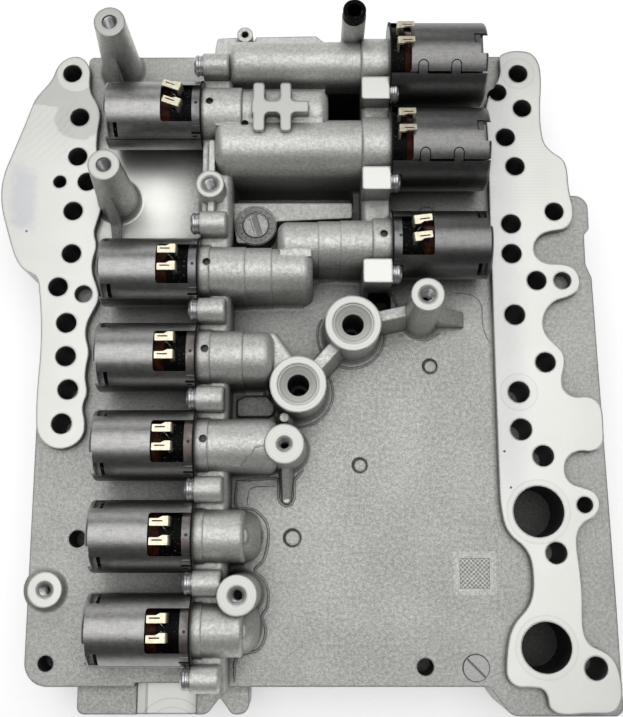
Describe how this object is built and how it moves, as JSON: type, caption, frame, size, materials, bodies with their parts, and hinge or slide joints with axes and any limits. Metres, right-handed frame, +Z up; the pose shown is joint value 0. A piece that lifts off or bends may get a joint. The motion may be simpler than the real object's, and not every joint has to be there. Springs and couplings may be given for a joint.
{
  "type": "transmission valve body",
  "caption": "Die-cast hydraulic valve body of an automatic transmission, with solenoid valves along both sides, separator plate and channel plate.",
  "frame": {"origin": "a point on the flat underside that meets the transmission case", "axes": "+Z up from the case face to the solenoids, +Y along the row of solenoids, +X across the plate along the solenoids' own axes"},
  "size_m": [0.2196, 0.2449, 0.0666],
  "materials": {
    "cast_aluminium": "die-cast, fine grain, milled pads",
    "separator_steel": "rolled sheet",
    "case_screw_steel": "dark phosphated",
    "pin_steel": "ground",
    "screw_zinc": "zinc plated",
    "plug_aluminium": "turned",
    "sleeve_plastic": "black moulded",
    "winding_copper": "varnished wire",
    "terminal_brass": "tinned, pale gold",
    "spring_steel": "drawn wire",
    "can_steel": "rolled, satin",
    "former_plastic": "black moulded",
    "pole_steel": "turned",
    "armature_steel": "ground",
    "spool_aluminium": "anodised"
  },
  "bodies": {
    "housing": {"can_l1": "can_steel", "can_l2": "can_steel", "can_l3": "can_steel", "can_l4": "can_steel", "can_l5": "can_steel", "can_l6": "can_steel", "can_r1": "can_steel", "can_r2": "can_steel", "can_r3": "can_steel", "case_screws": "case_screw_steel", "channel_plate": "cast_aluminium", "coil_former_l1": "former_plastic", "coil_former_l2": "former_plastic", "coil_former_l3": "former_plastic", "coil_former_l4": "former_plastic", "coil_former_l5": "former_plastic", "coil_former_l6": "former_plastic", "coil_former_r1": "former_plastic", "coil_former_r2": "former_plastic", "coil_former_r3": "former_plastic", "cross_pins": "pin_steel", "dowels": "pin_steel", "pole_core_l1": "pole_steel", "pole_core_l2": "pole_steel", "pole_core_l3": "pole_steel", "pole_core_l4": "pole_steel", "pole_core_l5": "pole_steel", "pole_core_l6": "pole_steel", "pole_core_r1": "pole_steel", "pole_core_r2": "pole_steel", "pole_core_r3": "pole_steel", "retaining_screws": "screw_zinc", "return_springs": "spring_steel", "separator_plate": "separator_steel", "slotted_plug": "plug_aluminium", "terminals": "terminal_brass", "tube_sleeve": "sleeve_plastic", "valve_housing": "cast_aluminium", "windings": "winding_copper"},
    "valve_l1": {"armature_l1": "armature_steel", "spool_l1": "spool_aluminium"},
    "valve_l2": {"armature_l2": "armature_steel", "spool_l2": "spool_aluminium"},
    "valve_l3": {"armature_l3": "armature_steel", "spool_l3": "spool_aluminium"},
    "valve_l4": {"armature_l4": "armature_steel", "spool_l4": "spool_aluminium"},
    "valve_l5": {"armature_l5": "armature_steel", "spool_l5": "spool_aluminium"},
    "valve_l6": {"armature_l6": "armature_steel", "spool_l6": "spool_aluminium"},
    "valve_r1": {"armature_r1": "armature_steel", "spool_r1": "spool_aluminium"},
    "valve_r2": {"armature_r2": "armature_steel", "spool_r2": "spool_aluminium"},
    "valve_r3": {"armature_r3": "armature_steel", "spool_r3": "spool_aluminium"}
  },
  "joints": [
    {"name": "solenoid_l1", "type": "slide", "parent": "housing", "child": "valve_l1", "axis": [1, 0, 0], "range_m": [0, 0.002], "stiffness_N_per_m": 300, "springref_m": -0.002},
    {"name": "solenoid_l2", "type": "slide", "parent": "housing", "child": "valve_l2", "axis": [1, 0, 0], "range_m": [0, 0.002], "stiffness_N_per_m": 300, "springref_m": -0.002},
    {"name": "solenoid_l3", "type": "slide", "parent": "housing", "child": "valve_l3", "axis": [1, 0, 0], "range_m": [0, 0.002], "stiffness_N_per_m": 300, "springref_m": -0.002},
    {"name": "solenoid_l4", "type": "slide", "parent": "housing", "child": "valve_l4", "axis": [1, 0, 0], "range_m": [0, 0.002], "stiffness_N_per_m": 300, "springref_m": -0.002},
    {"name": "solenoid_l5", "type": "slide", "parent": "housing", "child": "valve_l5", "axis": [1, 0, 0], "range_m": [0, 0.002], "stiffness_N_per_m": 300, "springref_m": -0.002},
    {"name": "solenoid_l6", "type": "slide", "parent": "housing", "child": "valve_l6", "axis": [1, 0, 0], "range_m": [0, 0.002], "stiffness_N_per_m": 300, "springref_m": -0.002},
    {"name": "solenoid_r1", "type": "slide", "parent": "housing", "child": "valve_r1", "axis": [-1, 0, 0], "range_m": [0, 0.002], "stiffness_N_per_m": 300, "springref_m": -0.002},
    {"name": "solenoid_r2", "type": "slide", "parent": "housing", "child": "valve_r2", "axis": [-1, 0, 0], "range_m": [0, 0.002], "stiffness_N_per_m": 300, "springref_m": -0.002},
    {"name": "solenoid_r3", "type": "slide", "parent": "housing", "child": "valve_r3", "axis": [-1, 0, 0], "range_m": [0, 0.002], "stiffness_N_per_m": 300, "springref_m": -0.002}
  ]
}
